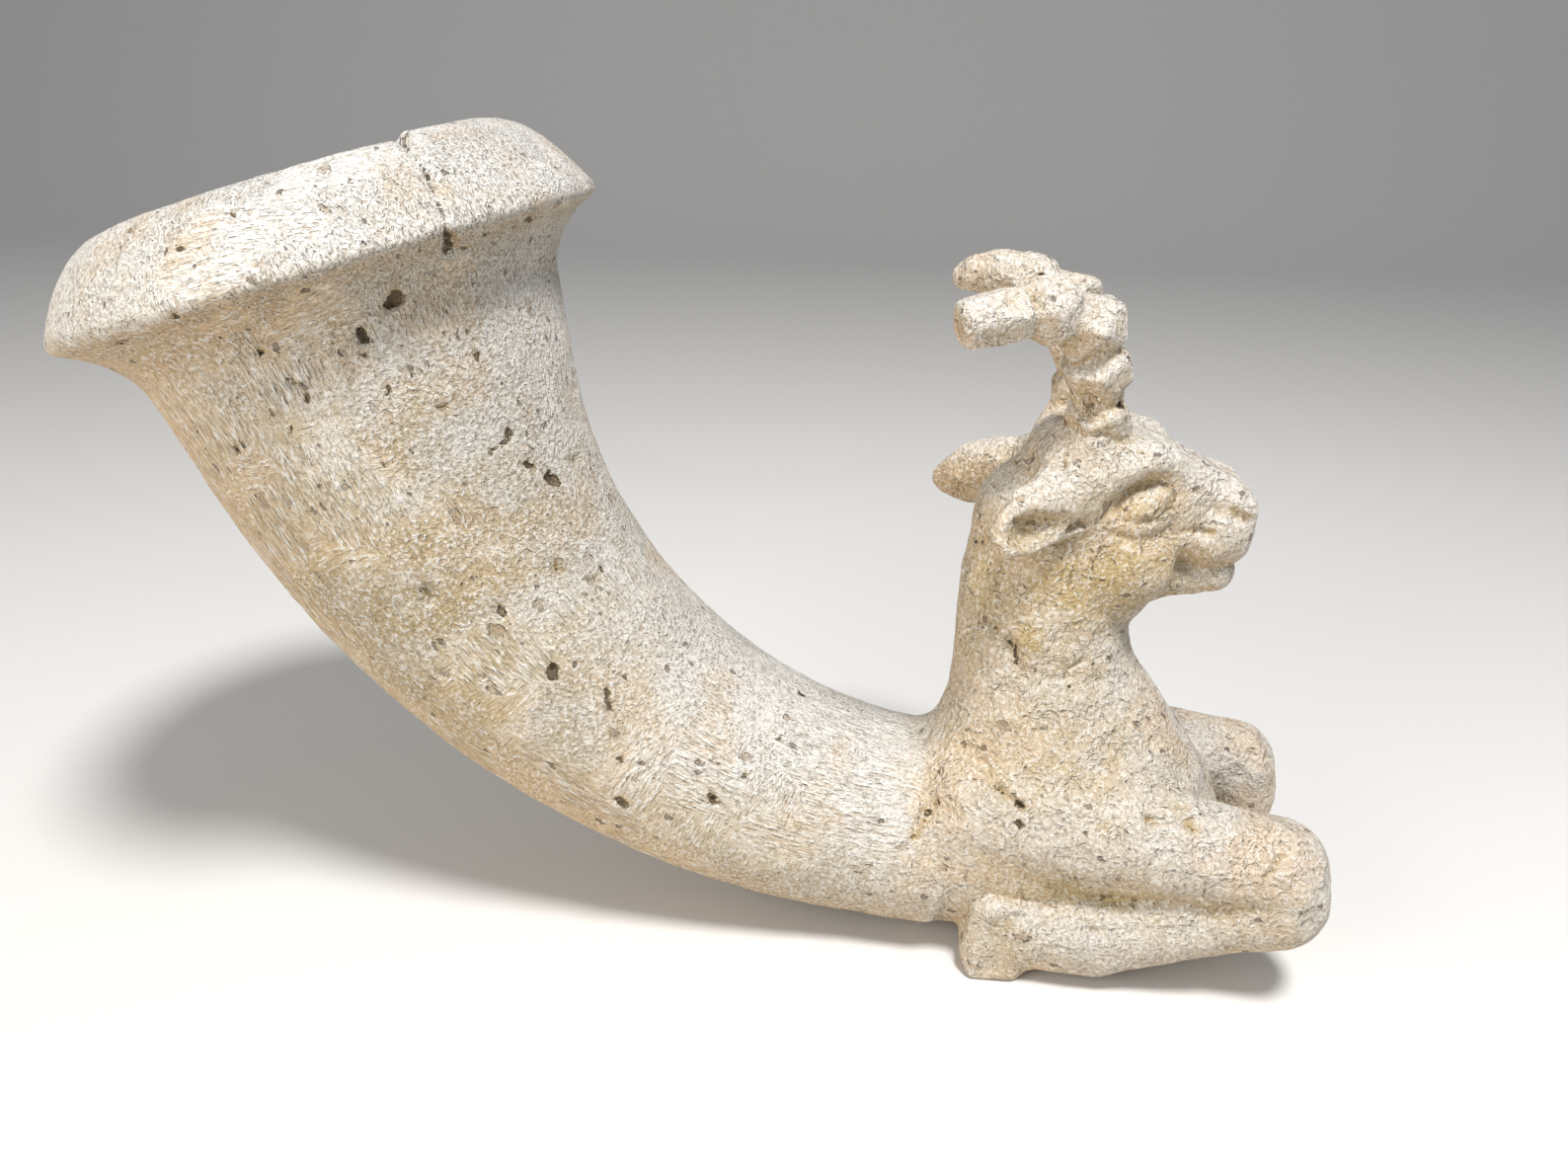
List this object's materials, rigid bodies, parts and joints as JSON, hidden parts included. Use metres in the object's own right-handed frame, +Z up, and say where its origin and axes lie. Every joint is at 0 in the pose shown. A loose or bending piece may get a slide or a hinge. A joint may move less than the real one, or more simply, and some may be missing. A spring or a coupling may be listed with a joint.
{
  "type": "rhyton drinking cup",
  "caption": "Carved stone drinking horn: a flared round cup that bends into the foreparts of a kneeling horned goat, with a pouring hole in the chest.",
  "frame": {"origin": "centre of the bounding box on the rest plane under the hooves", "axes": "+X from the cup's lip toward the animal's knees, +Y toward the animal's left side, +Z up"},
  "size_m": [0.1676, 0.0704, 0.1098],
  "materials": {
    "stone_cup": "rasped, porous, matt",
    "stone_rim": "worn, porous, matt",
    "stone_fragment": "worn, porous, matt",
    "stone_body": "rasped, porous, matt",
    "stone_neck": "ochre stained, matt",
    "stone_head": "worn, matt",
    "stone_horn": "worn, matt",
    "stone_hoof": "rough, matt"
  },
  "bodies": {
    "root": {"cup_horn": "stone_cup", "rim_band": "stone_rim", "rim_fragment": "stone_fragment", "chest": "stone_body", "neck": "stone_neck", "head": "stone_head", "lower_jaw": "stone_head", "horn_right": "stone_horn", "horn_left": "stone_horn", "ear_right": "stone_head", "ear_left": "stone_head", "eye_right": "stone_head", "eye_left": "stone_head", "foreleg_right": "stone_body", "foreleg_left": "stone_body", "hoof_right": "stone_hoof", "hoof_left": "stone_hoof"}
  },
  "joints": []
}
